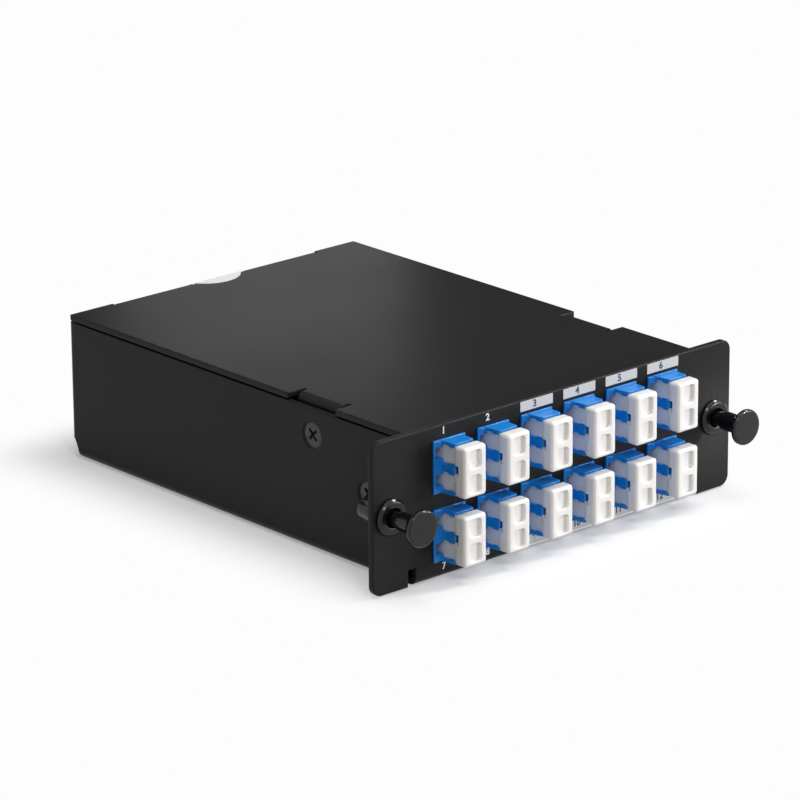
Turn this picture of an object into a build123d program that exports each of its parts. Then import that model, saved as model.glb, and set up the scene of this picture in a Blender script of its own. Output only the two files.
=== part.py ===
from build123d import *
import os

os.makedirs("parts", exist_ok=True)

# Wavelength multiplexer module: a folded steel case with twelve duplex fibre adapters.
# The origin is the middle of the tray's underside, the panel faces -Y and +Z is up.

# Adapter array, which sets the case's width and height
columns = 6
rows = 2
column_pitch = 13.0
row_pitch = 15.8
adapter_width = 9.2
adapter_height = 12.25
array_floor_gap = 4.15
array_height = (rows - 1) * row_pitch + adapter_height
array_z = array_floor_gap + array_height / 2

# Case sizes
sheet = 1.4
side_margin = 4.8
body_depth = 119.3
array_cover_gap = 2.8
cover_wall_gap = 0.45
floor_bend = 0.9
tight_bend = 0.2
body_width = columns * column_pitch + 2 * side_margin
cover_top = array_floor_gap + array_height + array_cover_gap
cover_under = cover_top - sheet
wall_top = cover_under - cover_wall_gap
half_body = body_width / 2
inner_wall = half_body - sheet
front = -body_depth / 2
rear = body_depth / 2

# Front panel, folded up from the floor between two relief notches
ear_width = 10.7
panel_rise = 0.5
panel_corner = 2.5
panel_edge_round = 0.25
ear_bottom = 0.3
fold_bend = 0.6
fold_inset = 1.7
notch_width = 2.3
notch_height = 4.0
panel_width = body_width + 2 * ear_width
panel_top = cover_top + panel_rise
panel_middle = (panel_top + ear_bottom) / 2
panel_back = front + sheet
fold_width = body_width - 2 * fold_inset
wall_front = panel_back + fold_bend

# Rear corners of the tray, and the low lip that the cover's rear flange closes against
corner_relief = 2.5
relief_low = 2.3
relief_high = 4.6
return_flange = 12.0
lip_gap = 0.1
lip_height = 9.0
lip_slit = 0.4
lip_half_width = half_body - floor_bend - sheet - lip_slit

# Cover, with its rear flange between the tray's return flanges
cover_gap_front = 0.2
cover_rear_inset = 0.45
cover_corner_inset = 0.85
cover_flange_gap = 1.0
cover_flange_slit = 0.4
cover_edge_round = 0.15
cover_front = panel_back + cover_gap_front
cover_rear = rear - cover_rear_inset
cover_corner_rear = rear - cover_corner_inset
cover_flange_half = half_body - return_flange - cover_flange_gap
cover_bend_start = cover_rear - tight_bend - sheet
lip_face = cover_rear - sheet - lip_gap

# Cover tabs, folded down inside the side walls
tab_place = 32.3
tab_width = 13.6
tab_slit = 1.2
tab_slit_depth = 4.8
tab_drop = 14.5
tab_wall_gap = 0.5
tab_bottom = cover_top - tab_drop
tab_face = inner_wall - tab_wall_gap
tab_y = front + tab_place

# Front brackets, which tie the panel's ends to the side walls
bracket_bottom = 8.0
bracket_top_gap = 5.15
bracket_array_gap = 1.15
bracket_screw_rise = 9.9
bracket_screw_place = 13.8
bracket_screw_margin = 6.2
bracket_height = wall_top - bracket_top_gap - bracket_bottom
bracket_end = front + bracket_screw_place + bracket_screw_margin

# Countersunk side screws: one through each cover tab, one through each front bracket
screw_head = 5.8
screw_shank = 3.0
screw_length = 6.0
screw_sink = 0.35
thread_clearance = 0.05
recess_width = 0.75
recess_span = 3.4
recess_depth = 1.0
tab_screw_drop = 8.0
head_height = (screw_head - screw_shank) / 2
tab_screw_z = cover_top - tab_screw_drop
bracket_screw_y = front + bracket_screw_place
bracket_screw_z = bracket_bottom + bracket_screw_rise

# Adapters, each with two ports one above the other
flange_thickness = 0.5
flange_side = 0.25
flange_end = 0.3
cutout_clearance = 0.1
adapter_body_reach = 17.4
nose_reach = 4.5
nose_left_inset = 2.1
nose_right_inset = 1.05
nose_taper = 0.55
nose_corner = 0.6
nose_end_inset = 0.1
key_slot_width = 1.1
key_slot_depth = 0.5
key_slot_top = 0.4
key_slot_x = 2.1
port_pitch = 6.25
port_x = 0.47
plug_width = 4.6
plug_height = 4.5
plug_clearance = 0.08
port_front_end = 5.0
port_rear_start = 8.0
ferrule_barrel = 2.9
ferrule_bore = 1.6
barrel_start = 0.8
barrel_end = 12.2
latch_slot_height = 2.6
latch_slot_margin = 0.6
latch_channel_end = 6.0
window_half = 2.15
window_tip_half = 1.8
window_tip_start = 2.7
window_slope = 0.35
clip_thickness = 0.25
clip_start = 1.6
clip_end = 8.0
clip_wing_width = 5.0
clip_wing_start = 6.4
clip_wing_rise = 0.75
adapter_body_width = adapter_width - 2 * flange_side
adapter_body_height = adapter_height - 2 * flange_end
port_width = plug_width + 2 * plug_clearance
port_height = plug_height + 2 * plug_clearance
outer_body_edge = (columns - 1) / 2 * column_pitch + adapter_body_width / 2

# Dust caps: one over each adapter, with a hollow plug in each port
cap_nose_gap = 0.7
cap_width = 6.6
cap_end_inset = 0.3
cap_thickness = 2.9
cap_x = 0.7
cap_corner = 0.8
cap_edge = 0.45
cap_notch_height = 2.6
cap_notch_depth = 0.8
cap_recess_width = 3.4
cap_recess_height = 4.2
cap_recess_pitch = 5.7
cap_recess_depth = 0.8
cap_recess_corner = 0.5
plug_end = 4.0
plug_hollow = 3.4
plug_hollow_depth = 3.7
cap_height = adapter_height - 2 * cap_end_inset
cap_back = nose_reach + cap_nose_gap

# Ear latches: a split grommet through the ear and a plunger that slides in it
latch_inset = 5.2
collar_diameter = 8.4
collar_thickness = 1.25
collar_edge = 0.65
ear_hole_clearance = 0.05
grommet_seat = 5.6
grommet_barrel = 5.5
grommet_round_end = 4.6
grommet_reach = 8.2
grommet_tip = 4.9
grommet_slot = 0.9
neck_diameter = 4.4
neck_clearance = 0.08
rod_diameter = 3.5
knob_front = 10.8
knob_rim = 1.0
knob_edge = 0.3
flare_end = 7.0
neck_end = 3.8
guide_start = 2.6
guide_end = 4.6
latch_x = panel_width / 2 - latch_inset
grommet_bore = neck_diameter + 2 * neck_clearance

# Thin-film filters in two moulded combs on the floor
filter_count = 8
filter_layers = 2
filter_diameter = 5.5
filter_length = 38.0
filter_clearance = 0.05
filter_pitch = 7.0
filter_y = 15.0
comb_thickness = 4.0
comb_spacing = 24.0
comb_floor = 1.6
comb_margin = 2.0
comb_rise = 0.8
filter_slot = filter_diameter + 2 * filter_clearance
filter_bed = sheet + comb_floor
comb_height = comb_floor + filter_layers * filter_slot + comb_rise

# Fibre guides: open hooks that hold the slack fibre near the side walls
guide_wall_gap = 9.4
guide_front_y = -24.0
guide_rear_y = 44.0
guide_length = 9.0
guide_width = 8.0
guide_height = 14.0
guide_wall = 1.2
guide_mouth = 3.0
guide_x = inner_wall - guide_wall_gap

# Round paper seal, folded over the cover's rear edge
seal_diameter = 17.0
seal_thickness = 0.1
seal_overlap = 5.2
seal_centre = cover_rear + seal_diameter / 2 - seal_overlap


def section_at(y):
    """Upright plane across the module at y; a negative extrude runs to the rear."""
    return Plane.XZ.offset(-y)


def wall_plane(side, y, z):
    """Plane on the outside of a side wall, with its normal pointing into the case."""
    return Plane(origin=(side * half_body, y, z), x_dir=(0, 1, 0), z_dir=(-side, 0, 0))


def countersink():
    """Cone cut for a side screw, which sits a little below the wall's face."""
    Cone(
        screw_head / 2 + screw_sink,
        screw_shank / 2,
        head_height + screw_sink,
        align=(Align.CENTER, Align.CENTER, Align.MIN),
        mode=Mode.SUBTRACT,
    )


def thread_hole():
    """Round cut for a side screw's shank."""
    Cylinder(
        screw_shank / 2 + thread_clearance,
        2 * screw_length,
        align=(Align.CENTER, Align.CENTER, Align.MIN),
        mode=Mode.SUBTRACT,
    )


screw_places = [
    wall_plane(side, y, z)
    for side in (-1, 1)
    for y, z in ((tab_y, tab_screw_z), (bracket_screw_y, bracket_screw_z))
]
adapter_places = [
    (
        (column - (columns - 1) / 2) * column_pitch,
        front,
        array_z + ((rows - 1) / 2 - row) * row_pitch,
    )
    for row in range(rows)
    for column in range(columns)
]
adapter_cutouts = [(x, z) for x, y, z in adapter_places]
latch_holes = [(-latch_x, panel_middle), (latch_x, panel_middle)]

# Base tray: floor, side walls and front panel in one folded sheet
with BuildPart() as base_tray:
    with BuildSketch(section_at(wall_front)):
        with BuildLine():
            wall_line = half_body - sheet / 2
            channel = FilletPolyline(
                (-wall_line, wall_top),
                (-wall_line, sheet / 2),
                (wall_line, sheet / 2),
                (wall_line, wall_top),
                radius=floor_bend + sheet / 2,
            )
        trace(channel, sheet)
    extrude(amount=-(rear - corner_relief - wall_front))
    # the floor stops short of the rear lip's bend
    bend_start = lip_face - sheet - floor_bend
    with BuildSketch(Plane.XY):
        with Locations((0, bend_start)):
            slot_width = 2 * (lip_half_width + lip_slit)
            Rectangle(slot_width, rear - bend_start, align=(Align.CENTER, Align.MIN))
    extrude(amount=sheet, mode=Mode.SUBTRACT)
    with BuildSketch(Plane.YZ):
        with BuildLine():
            lip = FilletPolyline(
                (bend_start - sheet, sheet / 2),
                (lip_face - sheet / 2, sheet / 2),
                (lip_face - sheet / 2, lip_height),
                radius=floor_bend + sheet / 2,
            )
        trace(lip, sheet)
    extrude(amount=lip_half_width, both=True)
    # return flanges, bent inwards from the side walls
    with BuildSketch(Plane.XY.offset(relief_low)):
        for side in (-1, 1):
            with BuildLine():
                corner = FilletPolyline(
                    (side * wall_line, rear - corner_relief - sheet),
                    (side * wall_line, rear - sheet / 2),
                    (side * (half_body - return_flange), rear - sheet / 2),
                    radius=tight_bend + sheet / 2,
                )
            trace(corner, sheet)
    extrude(amount=wall_top - relief_low)
    with BuildSketch(Plane.YZ):
        with BuildLine():
            Polyline(
                (rear - corner_relief, relief_low - sheet),
                (rear + sheet, relief_low - sheet),
                (rear + sheet, relief_high),
                (rear - sheet, relief_high),
                (rear - corner_relief, relief_low),
                close=True,
            )
        make_face()
    extrude(amount=half_body + sheet, both=True, mode=Mode.SUBTRACT)
    # front panel with its ears
    with BuildSketch(section_at(front)):
        with Locations((0, panel_middle)):
            RectangleRounded(panel_width, panel_top - ear_bottom, panel_corner)
        with Locations((0, ear_bottom)):
            notch_span = fold_width + 2 * notch_width
            Rectangle(
                notch_span, notch_height, align=(Align.CENTER, Align.MIN), mode=Mode.SUBTRACT
            )
    extrude(amount=-sheet)
    with BuildSketch(Plane.YZ):
        with BuildLine():
            fold = FilletPolyline(
                (front + sheet / 2, ear_bottom + notch_height + sheet),
                (front + sheet / 2, sheet / 2),
                (wall_front + sheet, sheet / 2),
                radius=fold_bend + sheet / 2,
            )
        trace(fold, sheet)
    extrude(amount=fold_width / 2, both=True)
    panel_face = base_tray.faces().group_by(Axis.Y)[0].sort_by(SortBy.AREA)[-1]
    outline = panel_face.outer_wire().edges()
    notch_outside = fold_width / 2 + notch_width + panel_edge_round
    top_edge = outline.sort_by(Axis.Z)[-1]
    ear_edges = outline.filter_by(lambda edge: abs(edge.center().X) > notch_outside)
    fillet([top_edge, *ear_edges], panel_edge_round)
    # openings for the adapters and the latches
    with BuildSketch(section_at(front)):
        with Locations(*adapter_cutouts):
            Rectangle(
                adapter_body_width + 2 * cutout_clearance,
                adapter_body_height + 2 * cutout_clearance,
            )
        with Locations(*latch_holes):
            Circle(grommet_seat / 2 + ear_hole_clearance)
    extrude(amount=-sheet, mode=Mode.SUBTRACT)
    # countersinks for the side screws
    with Locations(*screw_places):
        countersink()
base_tray.part.label = "base_tray"
export_step(base_tray.part, "parts/base_tray.step")

# Cover: a plate with a folded rear flange and two folded side tabs
with BuildPart() as cover:
    with BuildSketch(Plane.XY.offset(cover_under)):
        with Locations((0, cover_front)):
            plate_length = cover_corner_rear - cover_front
            Rectangle(body_width, plate_length, align=(Align.CENTER, Align.MIN))
        with Locations((0, cover_bend_start)):
            flange_slot = 2 * (cover_flange_half + cover_flange_slit)
            Rectangle(
                flange_slot, sheet * 2, align=(Align.CENTER, Align.MIN), mode=Mode.SUBTRACT
            )
        # edge cut-outs and slits beside the tabs
        for side in (-1, 1):
            cut_width = tab_width + 2 * tab_slit
            with Locations((side * half_body, tab_y)):
                Rectangle(2 * tab_slit_depth, cut_width, mode=Mode.SUBTRACT)
    extrude(amount=sheet)
    top_edges = cover.edges().group_by(Axis.Z)[-1].filter_by(GeomType.LINE)
    fillet(top_edges.filter_by(lambda edge: abs(edge.center().X) > half_body - sheet), cover_edge_round)
    with BuildSketch(Plane.YZ):
        with BuildLine():
            flange = FilletPolyline(
                (cover_bend_start - sheet, cover_top - sheet / 2),
                (cover_rear - sheet / 2, cover_top - sheet / 2),
                (cover_rear - sheet / 2, relief_low),
                radius=tight_bend + sheet / 2,
            )
        trace(flange, sheet)
    extrude(amount=cover_flange_half, both=True)
    for side in (-1, 1):
        with BuildSketch(section_at(tab_y)):
            with BuildLine():
                tab_line = side * (tab_face - sheet / 2)
                tab = FilletPolyline(
                    (side * (half_body - tab_slit_depth - sheet), cover_top - sheet / 2),
                    (tab_line, cover_top - sheet / 2),
                    (tab_line, tab_bottom),
                    radius=tight_bend + sheet / 2,
                )
            trace(tab, sheet)
        extrude(amount=tab_width / 2, both=True)
        with Locations(wall_plane(side, tab_y, tab_screw_z)):
            thread_hole()
cover.part.label = "cover"
export_step(cover.part, "parts/cover.step")

# Side screws, black, with cross recesses
with BuildPart() as side_screws:
    for place in screw_places:
        head_plane = place.offset(screw_sink)
        with Locations(head_plane):
            Cone(
                screw_head / 2,
                screw_shank / 2,
                head_height,
                align=(Align.CENTER, Align.CENTER, Align.MIN),
            )
            Cylinder(
                screw_shank / 2,
                screw_length,
                align=(Align.CENTER, Align.CENTER, Align.MIN),
            )
        with BuildSketch(head_plane):
            Rectangle(recess_span, recess_width, rotation=45)
            Rectangle(recess_width, recess_span, rotation=45)
        extrude(amount=recess_depth, mode=Mode.SUBTRACT)
side_screws.part.label = "side_screws"
export_step(side_screws.part, "parts/side_screws.step")

# Front brackets, one inside each front corner
for side, name in ((-1, "front_bracket_left"), (1, "front_bracket_right")):
    with BuildPart() as front_bracket:
        with BuildSketch(Plane.XY.offset(bracket_bottom)):
            with BuildLine():
                leg_line = side * (inner_wall - sheet / 2)
                angle = FilletPolyline(
                    (side * (outer_body_edge + bracket_array_gap), panel_back + sheet / 2),
                    (leg_line, panel_back + sheet / 2),
                    (leg_line, bracket_end),
                    radius=tight_bend + sheet / 2,
                )
            trace(angle, sheet)
        extrude(amount=bracket_height)
        with Locations(wall_plane(side, bracket_screw_y, bracket_screw_z)):
            countersink()
            thread_hole()
    front_bracket.part.label = name
    export_step(front_bracket.part, f"parts/{name}.step")

# Duplex adapter, moulded in one, about the middle of its flange on the panel's face
port_places = [(port_x, -port_pitch / 2), (port_x, port_pitch / 2)]
half_adapter = adapter_width / 2
with BuildPart() as adapter:
    with BuildSketch(section_at(0)):
        Rectangle(adapter_width, adapter_height)
    extrude(amount=flange_thickness)
    with BuildSketch(section_at(0)):
        Rectangle(adapter_body_width, adapter_body_height)
    extrude(amount=-adapter_body_reach)
    # nose: a block with rounded front corners that tapers on the latch side
    with BuildSketch(Plane.XY.offset(nose_end_inset - adapter_height / 2)):
        with BuildLine():
            nose_left = nose_left_inset - half_adapter
            nose_right = half_adapter - nose_right_inset
            FilletPolyline(
                (nose_left, -flange_thickness),
                (nose_left + nose_taper, -nose_reach),
                (nose_right, -nose_reach),
                (nose_right, -flange_thickness),
                radius=nose_corner,
            )
            Line((nose_right, -flange_thickness), (nose_left, -flange_thickness))
        make_face()
    extrude(amount=adapter_height - 2 * nose_end_inset)
    # key slot in the front face
    with BuildSketch(section_at(-nose_reach)):
        with Locations((key_slot_x, adapter_height / 2 - nose_end_inset - key_slot_top)):
            slot_height = adapter_height - 2 * (nose_end_inset + key_slot_top)
            Rectangle(key_slot_width, slot_height, align=(Align.CENTER, Align.MAX))
    extrude(amount=-key_slot_depth, mode=Mode.SUBTRACT)
    # ports from both ends, with a web between them
    with BuildSketch(section_at(port_front_end)):
        with Locations(*port_places):
            Rectangle(port_width, port_height)
    extrude(amount=port_front_end + nose_reach, mode=Mode.SUBTRACT)
    with BuildSketch(section_at(port_rear_start)):
        with Locations(*port_places):
            Rectangle(port_width, port_height)
    extrude(amount=-(adapter_body_reach - port_rear_start), mode=Mode.SUBTRACT)
    # windows through the nose's left side, and slots and channels for the plug's latch
    port_left = port_x - port_width / 2
    for x, z in port_places:
        with BuildSketch(Plane.YZ.offset(port_left)):
            with BuildLine():
                upper = Polyline(
                    (-nose_reach, z),
                    (-nose_reach, z + window_tip_half),
                    (-window_tip_start, z + window_tip_half),
                    (window_slope - window_tip_start, z + window_half),
                    (-flange_thickness, z + window_half),
                    (-flange_thickness, z),
                )
                mirror(upper, about=Plane.XZ.offset(-z))
            make_face()
        extrude(amount=-(half_adapter + port_left), mode=Mode.SUBTRACT)
        with BuildSketch(section_at(latch_channel_end)):
            with Locations((port_left, z)):
                Rectangle(
                    half_adapter + port_left - latch_slot_margin,
                    latch_slot_height,
                    align=(Align.MAX, Align.CENTER),
                )
        extrude(amount=latch_channel_end + flange_thickness, mode=Mode.SUBTRACT)
    # seat for the spring clip
    with BuildSketch(section_at(clip_start)):
        Rectangle(2 * adapter_width, 2 * adapter_height)
        with Locations((-clip_thickness, 0)):
            Rectangle(
                adapter_body_width,
                adapter_body_height - 2 * clip_thickness,
                mode=Mode.SUBTRACT,
            )
    extrude(amount=-(clip_end - clip_start), mode=Mode.SUBTRACT)
    # eight-sided barrels for the ferrules
    with BuildSketch(section_at(barrel_start)):
        with Locations(*port_places):
            RegularPolygon(ferrule_barrel / 2, 8)
    extrude(amount=-(barrel_end - barrel_start))
    with BuildSketch(section_at(barrel_start)):
        with Locations(*port_places):
            RegularPolygon(ferrule_bore / 2, 8)
    extrude(amount=-(barrel_end - barrel_start), mode=Mode.SUBTRACT)

# Dust cap, moulded in one, about the same point as its adapter
with BuildPart() as dust_cap:
    with BuildSketch(section_at(-cap_back)):
        with Locations((cap_x, 0)):
            RectangleRounded(cap_width, cap_height, cap_corner)
    extrude(amount=cap_thickness)
    cap_face = dust_cap.faces().sort_by(Axis.Y)[0]
    chamfer(cap_face.edges(), cap_edge)
    # notch across the back, between the plugs
    with BuildSketch(section_at(-cap_back)):
        with Locations((cap_x, 0)):
            Rectangle(2 * cap_width, cap_notch_height)
    extrude(amount=cap_notch_depth, mode=Mode.SUBTRACT)
    # two shallow recesses in the front
    with BuildSketch(section_at(-cap_back - cap_thickness)):
        with Locations((cap_x, -cap_recess_pitch / 2), (cap_x, cap_recess_pitch / 2)):
            Rectangle(cap_recess_width, cap_recess_height)
        chamfer(vertices(), cap_recess_corner)
    extrude(amount=-cap_recess_depth, mode=Mode.SUBTRACT)
    with BuildSketch(section_at(plug_end)):
        with Locations(*port_places):
            Rectangle(plug_width, plug_height)
    extrude(amount=plug_end + cap_back)
    with BuildSketch(section_at(plug_end)):
        with Locations(*port_places):
            Rectangle(plug_hollow, plug_hollow)
    extrude(amount=plug_hollow_depth, mode=Mode.SUBTRACT)

for number, place in enumerate(adapter_places, 1):
    for piece, name in ((adapter, f"adapter_{number:02d}"), (dust_cap, f"dust_cap_{number:02d}")):
        placed = piece.part.moved(Location(place))
        placed.label = name
        export_step(placed, f"parts/{name}.step")

# Adapter clips: a sprung steel strap with two wings behind the panel on each adapter
with BuildPart() as adapter_clips:
    for x, y, z in adapter_places:
        with BuildSketch(section_at(y + clip_start)):
            with Locations((x, z)):
                Rectangle(adapter_body_width, adapter_body_height)
            with Locations((x - clip_thickness, z)):
                Rectangle(
                    adapter_body_width,
                    adapter_body_height - 2 * clip_thickness,
                    mode=Mode.SUBTRACT,
                )
        extrude(amount=-(clip_end - clip_start))
        wing_root = z + adapter_body_height / 2
        wing_end = y + clip_start
        with BuildSketch(Plane.YZ.offset(x)):
            with BuildLine():
                wing = Polyline(
                    (y + clip_wing_start, wing_root),
                    (wing_end, wing_root + clip_wing_rise),
                    (wing_end, wing_root + clip_wing_rise - clip_thickness),
                    (y + clip_wing_start - 2 * clip_thickness, wing_root - clip_thickness / 2),
                    close=True,
                )
                mirror(wing, about=Plane.XZ.offset(-z))
            make_face()
        extrude(amount=clip_wing_width / 2, both=True)
adapter_clips.part.label = "adapter_clips"
export_step(adapter_clips.part, "parts/adapter_clips.step")

# Ear latches, about the axis of each ear's hole on the panel's face
with BuildPart() as latch_grommet:
    with BuildSketch(Plane.XY):
        with BuildLine():
            Polyline(
                (grommet_bore / 2, -collar_thickness),
                (grommet_bore / 2, grommet_reach),
                (grommet_tip / 2, grommet_reach),
                (grommet_barrel / 2, grommet_round_end),
                (grommet_barrel / 2, sheet),
                (grommet_seat / 2, sheet),
                (grommet_seat / 2, 0),
                (collar_diameter / 2, 0),
                (collar_diameter / 2, -collar_thickness),
                close=True,
            )
        make_face()
        rim = vertices().group_by(Axis.X)[-1].sort_by(Axis.Y)[0]
        chamfer(rim, collar_edge)
    revolve(axis=Axis.Y)
    # crossed slots that split the tip into four legs
    with BuildSketch(section_at(grommet_round_end)):
        Rectangle(grommet_barrel * 2, grommet_slot, rotation=45)
        Rectangle(grommet_slot, grommet_barrel * 2, rotation=45)
    extrude(amount=-(grommet_reach - grommet_round_end), mode=Mode.SUBTRACT)

with BuildPart() as latch_plunger:
    with BuildSketch(Plane.XY):
        with BuildLine():
            knob_radius = collar_diameter / 2
            neck_radius = neck_diameter / 2
            rod_radius = rod_diameter / 2
            rim_back = knob_rim - knob_front
            Polyline(
                (neck_radius, -flare_end),
                (neck_radius, -neck_end),
                (rod_radius, neck_radius - rod_radius - neck_end),
                (rod_radius, guide_start),
                (neck_radius, guide_start + neck_radius - rod_radius),
                (neck_radius, guide_end - knob_edge),
                (neck_radius - knob_edge, guide_end),
                (0, guide_end),
                (0, -knob_front),
                (knob_radius - knob_edge, -knob_front),
                (knob_radius, knob_edge - knob_front),
                (knob_radius, rim_back),
            )
            ThreePointArc(
                (knob_radius, rim_back),
                (neck_radius + (knob_radius - neck_radius) * 0.3, -(flare_end - rim_back) / 2 - 0.2),
                (neck_radius, -flare_end),
            )
        make_face()
    revolve(axis=Axis.Y)

for side, name in ((-1, "left"), (1, "right")):
    for piece, kind in ((latch_grommet, "latch_grommet"), (latch_plunger, "latch_plunger")):
        placed = piece.part.moved(Location((side * latch_x, front, panel_middle)))
        placed.label = f"{kind}_{name}"
        export_step(placed, f"parts/{kind}_{name}.step")

# Thin-film filters: glass cylinders in two layers
filter_places = [
    ((number - (filter_count - 1) / 2) * filter_pitch, filter_bed + filter_slot * (layer + 0.5))
    for layer in range(filter_layers)
    for number in range(filter_count)
]
with BuildPart() as thin_film_filters:
    with BuildSketch(section_at(filter_y - filter_length / 2)):
        with Locations(*filter_places):
            Circle(filter_diameter / 2)
    extrude(amount=-filter_length)
thin_film_filters.part.label = "thin_film_filters"
export_step(thin_film_filters.part, "parts/thin_film_filters.step")

# Filter combs, one near each end of the filters
comb_width = filter_count * filter_pitch + 2 * comb_margin
for place, name in ((-0.5, "filter_comb_front"), (0.5, "filter_comb_rear")):
    with BuildPart() as filter_comb:
        with BuildSketch(section_at(filter_y + place * comb_spacing - comb_thickness / 2)):
            with Locations((0, sheet)):
                Rectangle(comb_width, comb_height, align=(Align.CENTER, Align.MIN))
            with Locations(*[(x, filter_bed) for x, z in filter_places[:filter_count]]):
                Rectangle(
                    filter_slot, comb_height, align=(Align.CENTER, Align.MIN), mode=Mode.SUBTRACT
                )
        extrude(amount=-comb_thickness)
    filter_comb.part.label = name
    export_step(filter_comb.part, f"parts/{name}.step")

# Fibre guides, stuck to the floor and open towards the middle
with BuildPart() as fibre_guides:
    for side in (-1, 1):
        for y in (guide_front_y, guide_rear_y):
            with BuildSketch(section_at(y - guide_length / 2)):
                with BuildLine():
                    low = sheet + guide_wall / 2
                    high = sheet + guide_height - guide_wall / 2
                    inner_x = side * (guide_x - guide_width)
                    hook = Polyline(
                        (inner_x, low),
                        (side * guide_x, low),
                        (side * guide_x, high),
                        (inner_x, high),
                        (inner_x, high - guide_mouth),
                    )
                trace(hook, guide_wall)
            extrude(amount=-guide_length)
fibre_guides.part.label = "fibre_guides"
export_step(fibre_guides.part, "parts/fibre_guides.step")

# Seal: half on the cover and half down its rear flange
with BuildPart() as seal_label:
    with BuildSketch(Plane.YZ):
        with BuildLine():
            seal_line = FilletPolyline(
                (cover_rear - seal_diameter, cover_top + seal_thickness / 2),
                (cover_rear + seal_thickness / 2, cover_top + seal_thickness / 2),
                (cover_rear + seal_thickness / 2, cover_top - seal_diameter),
                radius=tight_bend + sheet + seal_thickness / 2,
            )
        trace(seal_line, seal_thickness)
    extrude(amount=seal_diameter / 2, both=True)
    with BuildSketch(Plane.XY.offset(cover_top)):
        with Locations((0, seal_centre)):
            Circle(seal_diameter / 2)
    top_disc = extrude(amount=2 * seal_thickness, mode=Mode.PRIVATE)
    with BuildSketch(section_at(cover_bend_start)):
        with Locations((0, cover_top - (seal_centre - cover_rear))):
            Circle(seal_diameter / 2)
        with Locations((0, cover_top)):
            Rectangle(
                body_width, seal_diameter, align=(Align.CENTER, Align.MIN), mode=Mode.SUBTRACT
            )
    rear_disc = extrude(amount=-2 * sheet, mode=Mode.PRIVATE)
    add(top_disc + rear_disc, mode=Mode.INTERSECT)
seal_label.part.label = "seal_label"
export_step(seal_label.part, "parts/seal_label.step")
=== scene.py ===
import math

import bpy
from mathutils import Matrix, Vector


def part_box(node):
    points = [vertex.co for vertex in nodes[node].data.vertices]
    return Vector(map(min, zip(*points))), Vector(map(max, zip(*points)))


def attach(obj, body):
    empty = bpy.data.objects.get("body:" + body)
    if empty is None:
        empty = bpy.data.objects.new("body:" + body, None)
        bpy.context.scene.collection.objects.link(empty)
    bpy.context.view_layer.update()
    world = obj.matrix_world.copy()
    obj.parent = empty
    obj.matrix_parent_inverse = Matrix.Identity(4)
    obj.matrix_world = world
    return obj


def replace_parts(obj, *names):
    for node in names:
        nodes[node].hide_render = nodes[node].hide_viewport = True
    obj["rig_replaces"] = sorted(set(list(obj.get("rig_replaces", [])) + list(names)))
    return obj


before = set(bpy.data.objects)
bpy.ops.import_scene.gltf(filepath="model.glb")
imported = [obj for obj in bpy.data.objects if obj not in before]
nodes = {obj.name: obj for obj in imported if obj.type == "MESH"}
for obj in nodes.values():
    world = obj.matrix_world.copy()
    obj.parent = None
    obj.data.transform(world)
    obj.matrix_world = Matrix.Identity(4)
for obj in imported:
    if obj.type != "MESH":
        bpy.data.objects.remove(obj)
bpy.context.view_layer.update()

# View
# The module is seen from its left front corner and a little above, through a long lens,
# so that the front panel runs up to the right and the case runs back to the left.
view_azimuth = math.radians(-41.570)
view_elevation = math.radians(18.585)
view_roll = math.radians(-0.416)
back = Vector(
    (
        math.sin(view_azimuth) * math.cos(view_elevation),
        -math.cos(view_azimuth) * math.cos(view_elevation),
        math.sin(view_elevation),
    )
)
right = Vector((math.cos(view_azimuth), math.sin(view_azimuth), 0))
up = back.cross(right)
view_place = Vector((-0.67978, -0.77385, 0.36476))
camera_data = bpy.data.cameras.new("camera")
camera_data.lens = 211.78
camera_data.clip_start = 0.1
camera = bpy.data.objects.new("camera", camera_data)
camera.matrix_world = (
    Matrix.Translation(view_place)
    @ Matrix((right, up, back)).transposed().to_4x4()
    @ Matrix.Rotation(view_roll, 4, "Z")
)
bpy.context.scene.collection.objects.link(camera)
bpy.context.scene.camera = camera
bpy.context.scene.view_settings.view_transform = "Standard"


# Table and light
# A white table top that runs into a white room, with a wide softbox in front and one above.
# Smaller lamps light the caps' left sides, the panel's edges, its front and its right ear. A
# low one behind draws the cover's sheen, and a flag there keeps the room's white out of it.
# The table and the room light the module less than they show.
table_bounce = 0.45
room_level = 0.19


def linear(code):
    """sRGB hex value as linear colour."""
    values = [int(code[place:place + 2], 16) / 255 for place in (1, 3, 5)]
    return [v / 12.92 if v <= 0.04045 else ((v + 0.055) / 1.055) ** 2.4 for v in values] + [1]


def add(tree, kind, inputs=None, **settings):
    """Adds one node to a tree; an input takes a value or another node's output."""
    node = tree.nodes.new(kind)
    for name, value in settings.items():
        setattr(node, name, value)
    for name, value in (inputs or {}).items():
        socket = node.inputs[name]
        if isinstance(value, bpy.types.NodeSocket):
            tree.links.new(value, socket)
        else:
            socket.default_value = value
    return node


def new_tree(name):
    """A new material's empty tree, with the material itself."""
    material = bpy.data.materials.new(name)
    material.use_nodes = True
    material.node_tree.nodes.clear()
    return material, material.node_tree


def seen_or_mirrored(tree):
    """1 for a ray from the camera or from something that mirrors, 0 for one that lights."""
    ray = add(tree, "ShaderNodeLightPath")
    straight = add(
        tree,
        "ShaderNodeMath",
        {0: ray.outputs["Is Camera Ray"], 1: ray.outputs["Is Glossy Ray"]},
        operation="MAXIMUM",
    ).outputs[0]
    return add(
        tree,
        "ShaderNodeMath",
        {0: straight, 1: ray.outputs["Is Transmission Ray"]},
        operation="MAXIMUM",
    ).outputs[0]


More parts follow.
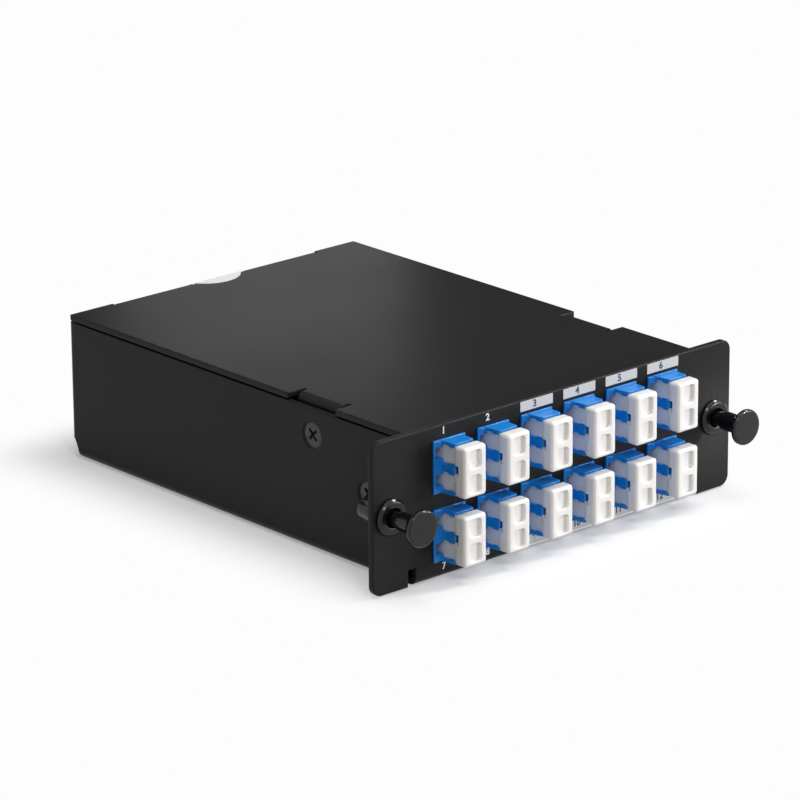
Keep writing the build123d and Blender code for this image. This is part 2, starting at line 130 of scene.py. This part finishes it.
def white_table():
    # Matt white laminate: it takes a soft shadow close to the case, and further out it glows
    # as white as the room, so that no edge of it shows.
    material, tree = new_tree("white table laminate")
    where = add(tree, "ShaderNodeTexCoord").outputs["Object"]
    case_footing = (0.044, 0.060, 0)
    shadow_reach = 0.024
    shadow_fill = 0.30
    corner = add(tree, "ShaderNodeVectorMath", {0: where}, operation="ABSOLUTE").outputs[0]
    outside = add(
        tree,
        "ShaderNodeVectorMath",
        {0: corner, 1: case_footing},
        operation="SUBTRACT",
    ).outputs[0]
    outside = add(
        tree, "ShaderNodeVectorMath", {0: outside, 1: (0, 0, 0)}, operation="MAXIMUM"
    ).outputs[0]
    distance = add(
        tree, "ShaderNodeVectorMath", {0: outside}, operation="LENGTH"
    ).outputs["Value"]
    fade = add(
        tree,
        "ShaderNodeMapRange",
        {"Value": distance, "From Max": shadow_reach, "To Min": shadow_fill},
        interpolation_type="SMOOTHSTEP",
    ).outputs["Result"]
    bounce = [table_bounce] * 3 + [1]
    tone = add(
        tree,
        "ShaderNodeMix",
        {0: seen_or_mirrored(tree), 6: bounce, 7: linear("#fdfdfd")},
        data_type="RGBA",
    ).outputs[2]
    top = add(tree, "ShaderNodeBsdfDiffuse", {"Color": tone}).outputs[0]
    glow = add(tree, "ShaderNodeEmission", {"Color": tone}).outputs[0]
    mixed = add(tree, "ShaderNodeMixShader", {0: fade, 1: top, 2: glow}).outputs[0]
    add(tree, "ShaderNodeOutputMaterial", {"Surface": mixed})
    return material


bpy.ops.mesh.primitive_circle_add(vertices=64, radius=3.0, fill_type="NGON")
table = bpy.context.object
table.name = "table"
table.data.materials.append(white_table())

room = bpy.data.worlds.new("white room")
bpy.context.scene.world = room
room.use_nodes = True
room.node_tree.nodes.clear()
room_strength = add(
    room.node_tree,
    "ShaderNodeMapRange",
    {"Value": seen_or_mirrored(room.node_tree), "To Min": room_level, "To Max": 1.0},
).outputs["Result"]
room_glow = add(
    room.node_tree,
    "ShaderNodeBackground",
    {"Color": linear("#fdfdfd"), "Strength": room_strength},
).outputs[0]
add(room.node_tree, "ShaderNodeOutputWorld", {"Surface": room_glow})


def hang_lamp(name, place, size, power, aim=(0, 0, 0), spread=180):
    """A softbox that faces its aim. A grid on its front narrows its spread, in degrees."""
    lamp_data = bpy.data.lights.new(name, "AREA")
    lamp_data.shape = "RECTANGLE"
    lamp_data.size, lamp_data.size_y = size
    lamp_data.energy = power
    lamp_data.spread = math.radians(spread)
    lamp = bpy.data.objects.new(name, lamp_data)
    lamp.visible_camera = False
    lamp.location = place
    lamp.rotation_euler = (lamp.location - Vector(aim)).to_track_quat("Z", "Y").to_euler()
    bpy.context.scene.collection.objects.link(lamp)


right_ear = (0.052, -0.060, 0.016)
hang_lamp("front softbox", (0.12, -0.65, 0.85), (1.4, 1.1), 1.8)
hang_lamp("top softbox", (0.0, -0.05, 0.80), (0.45, 0.45), 2.1)
hang_lamp("left window", (-0.38, -0.78, 0.70), (0.20, 0.20), 1.7)
hang_lamp("edge softbox", (0.60, -0.32, 0.68), (0.18, 0.18), 3.8)
hang_lamp("low right softbox", (0.56, -0.62, 0.085), (0.28, 0.14), 3.4)
hang_lamp("rear sheen softbox", (0.125, 0.190, 0.093), (0.08, 0.05), 0.013)
hang_lamp("gridded lamp", (0.22, -0.30, 0.05), (0.01, 0.01), 0.002, right_ear, spread=6)

flag_place = Vector((0.60, 0.68, 0.51))
flag_width, flag_height = 2.0, 1.0
flag_facing = Vector((flag_place.x, flag_place.y, 0)).to_track_quat("Z", "Y")
bpy.ops.mesh.primitive_plane_add(size=1)
flag = bpy.context.object
flag.name = "dark_flag"
flag.data.transform(
    Matrix.Translation(flag_place)
    @ flag_facing.to_matrix().to_4x4()
    @ Matrix.Diagonal((flag_width, flag_height, 1, 1))
)
# dull cloth, darker than the room, which gives the cover nothing bright to mirror
grey_cloth, cloth_tree = new_tree("grey flag cloth")
cloth = add(cloth_tree, "ShaderNodeBsdfDiffuse", {"Color": linear("#606060")}).outputs[0]
add(cloth_tree, "ShaderNodeOutputMaterial", {"Surface": cloth})
flag.data.materials.append(grey_cloth)
flag.visible_camera = False


# Tray
# Floor, side walls, rear flanges and the front panel with its ears are one 1.4 mm steel
# sheet, folded and powder coated. The CAD node keeps its sharp mesh here, and its edges are
# rounded in the shading of the coat.
MM = 0.001
shaded_edge = 0.5 * MM


def powder_coat():
    # Matt near-black powder coat. Its fine orange-peel grain breaks up what it mirrors, and
    # it catches a thin line of light where it runs round an edge.
    material, tree = new_tree("black powder coat")
    where = add(tree, "ShaderNodeTexCoord").outputs["Object"]
    grain = add(
        tree,
        "ShaderNodeTexNoise",
        {"Vector": where, "Scale": 1 / (0.45 * MM), "Detail": 3.0},
    ).outputs["Fac"]
    cloud = add(
        tree,
        "ShaderNodeTexNoise",
        {"Vector": where, "Scale": 1 / (30 * MM), "Detail": 2.0},
    ).outputs["Fac"]
    sheen = add(
        tree,
        "ShaderNodeMapRange",
        {"Value": cloud, "To Min": 0.28, "To Max": 0.36},
    ).outputs["Result"]
    tone = add(
        tree,
        "ShaderNodeMix",
        {0: grain, 6: linear("#1e1e1e"), 7: linear("#252525")},
        data_type="RGBA",
    )
    edge = add(tree, "ShaderNodeBevel", {"Radius": shaded_edge}).outputs["Normal"]
    peel = add(
        tree,
        "ShaderNodeBump",
        {"Height": grain, "Strength": 0.1, "Distance": 0.05 * MM, "Normal": edge},
    ).outputs["Normal"]
    coat = add(
        tree,
        "ShaderNodeBsdfPrincipled",
        {"Base Color": tone.outputs[2], "Roughness": sheen, "Normal": peel},
    )
    coat.inputs["IOR"].default_value = 1.19
    add(tree, "ShaderNodeOutputMaterial", {"Surface": coat.outputs[0]})
    return material


def finish_node(name, material):
    """Gives a CAD piece one material."""
    slots = nodes[name].data.materials
    slots.clear()
    slots.append(material)


coat = powder_coat()
finish_node("base_tray", coat)


# Cover
# A plate of the same coated sheet that lies on the side walls, with two tabs folded down
# inside them and a flange folded down between the tray's rear flanges.
coated_edge = 0.16 * MM


def select_only(piece):
    """Selects one piece and makes it the active one."""
    bpy.ops.object.select_all(action="DESELECT")
    piece.select_set(True)
    bpy.context.view_layer.objects.active = piece


def finish(piece, material, body="case"):
    """One material all over, in its own slot, and the body that the piece rides on."""
    piece.data.materials.clear()
    piece.data.materials.append(material)
    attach(piece, body)


def rounded(source, name, edge, material, body="case", segments=2):
    """A CAD piece's own shape as a new piece, with its sharp edges rounded off."""
    welded = 0.002 * MM
    sharp_bend, smooth_bend = math.radians(38), math.radians(40)
    piece = bpy.data.objects.new(name, nodes[source].data.copy())
    bpy.context.scene.collection.objects.link(piece)
    select_only(piece)
    bpy.ops.object.mode_set(mode="EDIT")
    bpy.ops.mesh.select_all(action="SELECT")
    bpy.ops.mesh.remove_doubles(threshold=welded)
    bpy.ops.object.mode_set(mode="OBJECT")
    rounding = piece.modifiers.new("rounding", "BEVEL")
    rounding.width = edge
    rounding.segments = segments
    rounding.limit_method = "ANGLE"
    rounding.angle_limit = sharp_bend
    rounding.use_clamp_overlap = False
    rounding.loop_slide = False
    bpy.ops.object.modifier_apply(modifier="rounding")
    bpy.ops.object.shade_smooth_by_angle(angle=smooth_bend)
    # flat faces keep one normal, and only the rounded edges blend
    flattening = piece.modifiers.new("flattening", "WEIGHTED_NORMAL")
    flattening.keep_sharp = True
    bpy.ops.object.modifier_apply(modifier="flattening")
    finish(piece, material, body)
    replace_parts(piece, source)
    return piece


rounded("cover", "folded_cover", coated_edge, coat)


# Front brackets
# Angles of the same coated sheet behind the panel's ends. They tie it to the side walls,
# where the lower side screws hold them.
for side in ("left", "right"):
    rounded(f"front_bracket_{side}", f"panel_bracket_{side}", coated_edge, coat)


# Side screws
# Countersunk machine screws with a cross recess, steel with a black oxide finish. The tool
# has rubbed them, so they are a little lighter and glossier than the coat around them.
def black_oxide():
    # Black oxide on turned steel is dark grey and satin, with lighter rubbed specks.
    material, tree = new_tree("black oxide steel")
    where = add(tree, "ShaderNodeTexCoord").outputs["Object"]
    rubbing = add(
        tree,
        "ShaderNodeTexNoise",
        {"Vector": where, "Scale": 1 / (0.8 * MM), "Detail": 4.0},
    ).outputs["Fac"]
    gloss = add(
        tree,
        "ShaderNodeMapRange",
        {"Value": rubbing, "To Min": 0.3, "To Max": 0.46},
    ).outputs["Result"]
    tone = add(
        tree,
        "ShaderNodeMix",
        {0: rubbing, 6: linear("#303032"), 7: linear("#4a4a4d")},
        data_type="RGBA",
    )
    steel = add(
        tree,
        "ShaderNodeBsdfPrincipled",
        {"Base Color": tone.outputs[2], "Metallic": 0.8, "Roughness": gloss},
    )
    add(tree, "ShaderNodeOutputMaterial", {"Surface": steel.outputs[0]})
    return material


screw_edge = 0.08 * MM
rounded("side_screws", "countersunk_screws", screw_edge, black_oxide())


# Adapters
# Duplex fibre adapters, injection moulded in blue polyester and snapped into the panel.
# Their nose has a key slot in the top and a latch window for each port in the left side.
def blue_moulding():
    # Semi-gloss polyester in a saturated blue, a little lighter where it flowed thick.
    material, tree = new_tree("blue moulded polyester")
    where = add(tree, "ShaderNodeTexCoord").outputs["Object"]
    flow = add(
        tree,
        "ShaderNodeTexNoise",
        {"Vector": where, "Scale": 1 / (2.5 * MM), "Detail": 2.0},
    ).outputs["Fac"]
    tone = add(
        tree,
        "ShaderNodeMix",
        {0: flow, 6: linear("#0a7dd4"), 7: linear("#1288de")},
        data_type="RGBA",
    )
    gloss = add(
        tree,
        "ShaderNodeMapRange",
        {"Value": flow, "To Min": 0.26, "To Max": 0.36},
    ).outputs["Result"]
    plastic = add(
        tree,
        "ShaderNodeBsdfPrincipled",
        {"Base Color": tone.outputs[2], "Roughness": gloss},
    )
    add(tree, "ShaderNodeOutputMaterial", {"Surface": plastic.outputs[0]})
    return material


def repeated(first, source, name, material, body="case"):
    """The first modelled piece again, with its own mesh, at another node's place."""
    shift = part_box(source)[0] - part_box(first["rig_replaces"][0])[0]
    piece = bpy.data.objects.new(name, first.data.copy())
    piece.data.transform(Matrix.Translation(shift))
    bpy.context.scene.collection.objects.link(piece)
    finish(piece, material, body)
    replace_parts(piece, source)


adapter_count = 12
adapter_edge = 0.08 * MM
blue = blue_moulding()
first_adapter = rounded("adapter_01", "duplex_adapter_01", adapter_edge, blue)
for number in range(2, adapter_count + 1):
    name = f"duplex_adapter_{number:02d}"
    repeated(first_adapter, f"adapter_{number:02d}", name, blue)


# Adapter clips
# Sprung stainless straps round the adapters behind the panel, stamped and left bare. Two
# wings on each keep its adapter in the panel's cut-out.
def spring_steel():
    # Cold-rolled stainless strip: bright, with fine lines along the way it was rolled.
    material, tree = new_tree("rolled stainless strip")
    where = add(tree, "ShaderNodeTexCoord").outputs["Object"]
    stretched = add(
        tree,
        "ShaderNodeMapping",
        {"Vector": where, "Scale": (1 / 4, 1, 1)},
    ).outputs["Vector"]
    lines = add(
        tree,
        "ShaderNodeTexNoise",
        {"Vector": stretched, "Scale": 1 / (0.1 * MM), "Detail": 3.0},
    ).outputs["Fac"]
    gloss = add(
        tree,
        "ShaderNodeMapRange",
        {"Value": lines, "To Min": 0.24, "To Max": 0.4},
    ).outputs["Result"]
    steel = add(
        tree,
        "ShaderNodeBsdfPrincipled",
        {"Base Color": linear("#c9c8c4"), "Metallic": 1.0, "Roughness": gloss},
    )
    add(tree, "ShaderNodeOutputMaterial", {"Surface": steel.outputs[0]})
    return material


finish_node("adapter_clips", spring_steel())


# Dust caps
# White caps moulded in soft polyethylene, one over each adapter, with two hollow plugs in
# its ports. Every edge is well rounded, and the front has two shallow recesses.
def white_polyethylene():
    # Satin polyethylene, warm white and slightly waxy: light spreads a little under its skin.
    material, tree = new_tree("white polyethylene")
    where = add(tree, "ShaderNodeTexCoord").outputs["Object"]
    flow = add(
        tree,
        "ShaderNodeTexNoise",
        {"Vector": where, "Scale": 1 / (3 * MM), "Detail": 2.0},
    ).outputs["Fac"]
    tone = add(
        tree,
        "ShaderNodeMix",
        {0: flow, 6: linear("#ebe8e6"), 7: linear("#f1efed")},
        data_type="RGBA",
    )
    gloss = add(
        tree,
        "ShaderNodeMapRange",
        {"Value": flow, "To Min": 0.4, "To Max": 0.48},
    ).outputs["Result"]
    plastic = add(
        tree,
        "ShaderNodeBsdfPrincipled",
        {"Base Color": tone.outputs[2], "Roughness": gloss},
    )
    plastic.inputs["Subsurface Weight"].default_value = 0.35
    plastic.inputs["Subsurface Radius"].default_value = (1.0, 0.8, 0.7)
    plastic.inputs["Subsurface Scale"].default_value = 0.8 * MM
    add(tree, "ShaderNodeOutputMaterial", {"Surface": plastic.outputs[0]})
    return material


cap_edge = 0.2 * MM
white = white_polyethylene()
first_cap = rounded(
    "dust_cap_01", "duplex_cap_01", cap_edge, white, "dust_cap_01", segments=3
)
for number in range(2, adapter_count + 1):
    node = f"dust_cap_{number:02d}"
    repeated(first_cap, node, f"duplex_cap_{number:02d}", white, node)


# Ear latches
# Push latches in black nylon: a split grommet in each ear, and a plunger that spreads it
# when it is pushed in. Both plungers are pulled out, as for carrying the module.
def black_nylon():
    # Nylon straight from a polished mould: deep black and glossy, with soft flow marks.
    material, tree = new_tree("black moulded nylon")
    where = add(tree, "ShaderNodeTexCoord").outputs["Object"]
    flow = add(
        tree,
        "ShaderNodeTexNoise",
        {"Vector": where, "Scale": 1 / (1.5 * MM), "Detail": 2.0},
    ).outputs["Fac"]
    gloss = add(
        tree,
        "ShaderNodeMapRange",
        {"Value": flow, "To Min": 0.14, "To Max": 0.22},
    ).outputs["Result"]
    nylon = add(
        tree,
        "ShaderNodeBsdfPrincipled",
        {"Base Color": linear("#0e0e0f"), "Roughness": gloss},
    )
    nylon.inputs["IOR"].default_value = 1.4
    add(tree, "ShaderNodeOutputMaterial", {"Surface": nylon.outputs[0]})
    return material


grommet_edge = 0.1 * MM
knob_edge = 0.12 * MM
nylon = black_nylon()
for side in ("left", "right"):
    grommet, plunger = f"latch_grommet_{side}", f"latch_plunger_{side}"
    rounded(grommet, f"split_grommet_{side}", grommet_edge, nylon)
    rounded(plunger, f"push_knob_{side}", knob_edge, nylon, plunger)


# Label fields
# Pale polyester labels above and below the four right-hand columns. The lower ones run down
# over the panel's fold and end in a white rim there, a painted highlight along the fold's
# lower edge. They carry the adapters' plain numbers.
panel_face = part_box("base_tray")[0].y
label_lift = 0.05 * MM
label_width = 9.8 * MM
upper_label_bottom, upper_label_top = 32.85 * MM, 35.15 * MM
lower_label_top = 3.55 * MM
rim_top = 1.15 * MM
fold_radius = 2.0 * MM
columns = 6
labelled_columns = (2, 3, 4, 5)


def label_film(name, code_low, code_high):
    # Printed film: flat and satin, with a faint paper-like mottle in its colour.
    material, tree = new_tree(name)
    where = add(tree, "ShaderNodeTexCoord").outputs["Object"]
    mottle = add(
        tree,
        "ShaderNodeTexNoise",
        {"Vector": where, "Scale": 1 / (0.3 * MM), "Detail": 2.0},
    ).outputs["Fac"]
    tone = add(
        tree,
        "ShaderNodeMix",
        {0: mottle, 6: linear(code_low), 7: linear(code_high)},
        data_type="RGBA",
    )
    film = add(
        tree,
        "ShaderNodeBsdfPrincipled",
        {"Base Color": tone.outputs[2], "Roughness": 0.5},
    )
    add(tree, "ShaderNodeOutputMaterial", {"Surface": film.outputs[0]})
    return material


def label_start(number):
    """The left edge of an adapter, where its label begins."""
    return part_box(f"adapter_{number:02d}")[0].x


def flat_label(number, bottom, top):
    """The flat part of an adapter's label, upright just in front of the panel."""
    bpy.ops.object.select_all(action="DESELECT")
    bpy.ops.mesh.primitive_plane_add(size=1)
    piece = bpy.context.object
    middle = label_start(number) + label_width / 2
    piece.data.transform(
        Matrix.Translation((middle, panel_face - label_lift, (bottom + top) / 2))
        @ Matrix.Rotation(math.radians(90), 4, "X")
        @ Matrix.Diagonal((label_width, top - bottom, 1, 1))
    )
    return piece


def folded_label(number):
    """A lower label, which runs on from its flat part half round the panel's fold."""
    piece = flat_label(number, fold_radius, lower_label_top)
    bpy.ops.object.mode_set(mode="EDIT")
    bpy.ops.mesh.select_all(action="DESELECT")
    bpy.ops.object.mode_set(mode="OBJECT")
    for edge in piece.data.edges:
        ends = [piece.data.vertices[place].co.z for place in edge.vertices]
        edge.select = max(ends) < (fold_radius + lower_label_top) / 2
    bpy.ops.object.mode_set(mode="EDIT")
    bpy.ops.mesh.spin(
        steps=8,
        angle=math.radians(-45),
        center=(0, panel_face + fold_radius, fold_radius),
        axis=(1, 0, 0),
    )
    bpy.ops.mesh.select_all(action="SELECT")
    bpy.ops.mesh.normals_make_consistent(inside=False)
    bpy.ops.object.mode_set(mode="OBJECT")
    return piece


def thick_label(piece, name, materials):
    """Gives a label its film's thickness and its finish."""
    piece.name = name
    select_only(piece)
    film = piece.modifiers.new("film", "SOLIDIFY")
    film.thickness = label_lift
    film.offset = -1
    bpy.ops.object.modifier_apply(modifier="film")
    piece.data.materials.clear()
    for material in materials:
        piece.data.materials.append(material)
    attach(piece, "case")


grey_film = label_film("grey label film", "#c0c0c0", "#cacac9")
# the rim's white is a painted highlight, for the light that the fold's lower edge catches
painted_highlight_rim = label_film("white label rim, painted highlight", "#f6f6f6", "#fdfdfd")
for column in labelled_columns:
    upper, lower = column + 1, column + 1 + columns
    plain = flat_label(upper, upper_label_bottom, upper_label_top)
    thick_label(plain, f"label_above_{upper:02d}", [grey_film])
    strip = folded_label(lower)
    thick_label(strip, f"label_below_{lower:02d}", [grey_film, painted_highlight_rim])
    # the faces low on the fold take the painted highlight's white
    for face in strip.data.polygons:
        face.material_index = 1 if face.center.z < rim_top else 0


# Numbers
# Plain numbers for the adapters, printed dark on the labels, and white on the coat beside
# the two columns that have no label.
digit_height = 1.6 * MM
digit_share = 0.7
stroke_growth = 0.06 * MM
ink_thickness = 0.015 * MM
ink_lift = 0.02 * MM
ink_y = panel_face - label_lift - ink_lift
upper_row_z, lower_row_z = 34.0 * MM, 2.75 * MM
label_indent, coat_indent = 4.3 * MM, 3.2 * MM


def printed_number(number, x, z, ink):
    """An adapter's number as thin raised ink. Digits fill only a share of their font's size."""
    bpy.ops.object.select_all(action="DESELECT")
    bpy.ops.object.text_add()
    text = bpy.context.object
    text.data.body = str(number)
    text.data.size = digit_height / digit_share
    text.data.offset = stroke_growth
    text.data.align_x = "CENTER"
    text.data.align_y = "CENTER"
    text.data.extrude = ink_thickness
    bpy.ops.object.convert(target="MESH")
    piece = bpy.context.object
    piece.name = f"number_{number:02d}"
    piece.data.transform(
        Matrix.Translation((x, ink_y, z)) @ Matrix.Rotation(math.radians(90), 4, "X")
    )
    finish(piece, ink)


# screen ink is as flat as the film, and a little thinner here and there
dark_ink = label_film("dark screen ink", "#2c2c30", "#3a3a3e")
white_ink = label_film("white screen ink", "#d8d8d8", "#ececec")
for number in range(1, adapter_count + 1):
    labelled = (number - 1) % columns in labelled_columns
    x = label_start(number) + (label_indent if labelled else coat_indent)
    z = upper_row_z if number <= columns else lower_row_z
    printed_number(number, x, z, dark_ink if labelled else white_ink)


# Filters and combs
# Sixteen glass filter cylinders in two black moulded combs on the floor, and four open
# hooks beside them for the slack fibre. The closed cover hides them.
def filter_glass():
    # Polished glass: clear and a very pale green, with faint streaks in its gloss.
    material, tree = new_tree("polished filter glass")
    where = add(tree, "ShaderNodeTexCoord").outputs["Object"]
    streaks = add(
        tree,
        "ShaderNodeTexNoise",
        {"Vector": where, "Scale": 1 / (2 * MM), "Detail": 2.0},
    ).outputs["Fac"]
    gloss = add(
        tree,
        "ShaderNodeMapRange",
        {"Value": streaks, "To Min": 0.04, "To Max": 0.12},
    ).outputs["Result"]
    glass = add(
        tree,
        "ShaderNodeBsdfPrincipled",
        {"Base Color": linear("#e2ebe8"), "Roughness": gloss},
    )
    glass.inputs["IOR"].default_value = 1.5
    glass.inputs["Transmission Weight"].default_value = 0.6
    add(tree, "ShaderNodeOutputMaterial", {"Surface": glass.outputs[0]})
    return material


def matt_moulding():
    # Filled ABS from a textured mould: charcoal, matt, with a fine sparked grain.
    material, tree = new_tree("charcoal moulded ABS")
    where = add(tree, "ShaderNodeTexCoord").outputs["Object"]
    grain = add(
        tree,
        "ShaderNodeTexNoise",
        {"Vector": where, "Scale": 1 / (0.25 * MM), "Detail": 3.0},
    ).outputs["Fac"]
    tone = add(
        tree,
        "ShaderNodeMix",
        {0: grain, 6: linear("#2b2b2c"), 7: linear("#343435")},
        data_type="RGBA",
    )
    sparked = add(
        tree,
        "ShaderNodeBump",
        {"Height": grain, "Strength": 0.2, "Distance": 0.03 * MM},
    ).outputs["Normal"]
    plastic = add(
        tree,
        "ShaderNodeBsdfPrincipled",
        {"Base Color": tone.outputs[2], "Roughness": 0.62, "Normal": sparked},
    )
    add(tree, "ShaderNodeOutputMaterial", {"Surface": plastic.outputs[0]})
    return material


finish_node("thin_film_filters", filter_glass())
charcoal = matt_moulding()
for name in ("filter_comb_front", "filter_comb_rear", "fibre_guides"):
    finish_node(name, charcoal)


# Seal
# A round plain seal of coated paper. It is stuck half on the cover and half down its rear
# flange, and follows the fold between them.
def seal_paper():
    # Coated paper: white with faint fibres, and only a dull sheen.
    material, tree = new_tree("coated paper")
    where = add(tree, "ShaderNodeTexCoord").outputs["Object"]
    fibres = add(
        tree,
        "ShaderNodeTexNoise",
        {"Vector": where, "Scale": 1 / (0.5 * MM), "Detail": 5.0},
    ).outputs["Fac"]
    tone = add(
        tree,
        "ShaderNodeMix",
        {0: fibres, 6: linear("#e2e2e0"), 7: linear("#efefee")},
        data_type="RGBA",
    )
    paper = add(
        tree,
        "ShaderNodeBsdfPrincipled",
        {"Base Color": tone.outputs[2], "Roughness": 0.7},
    )
    add(tree, "ShaderNodeOutputMaterial", {"Surface": paper.outputs[0]})
    return material


finish_node("seal_label", seal_paper())
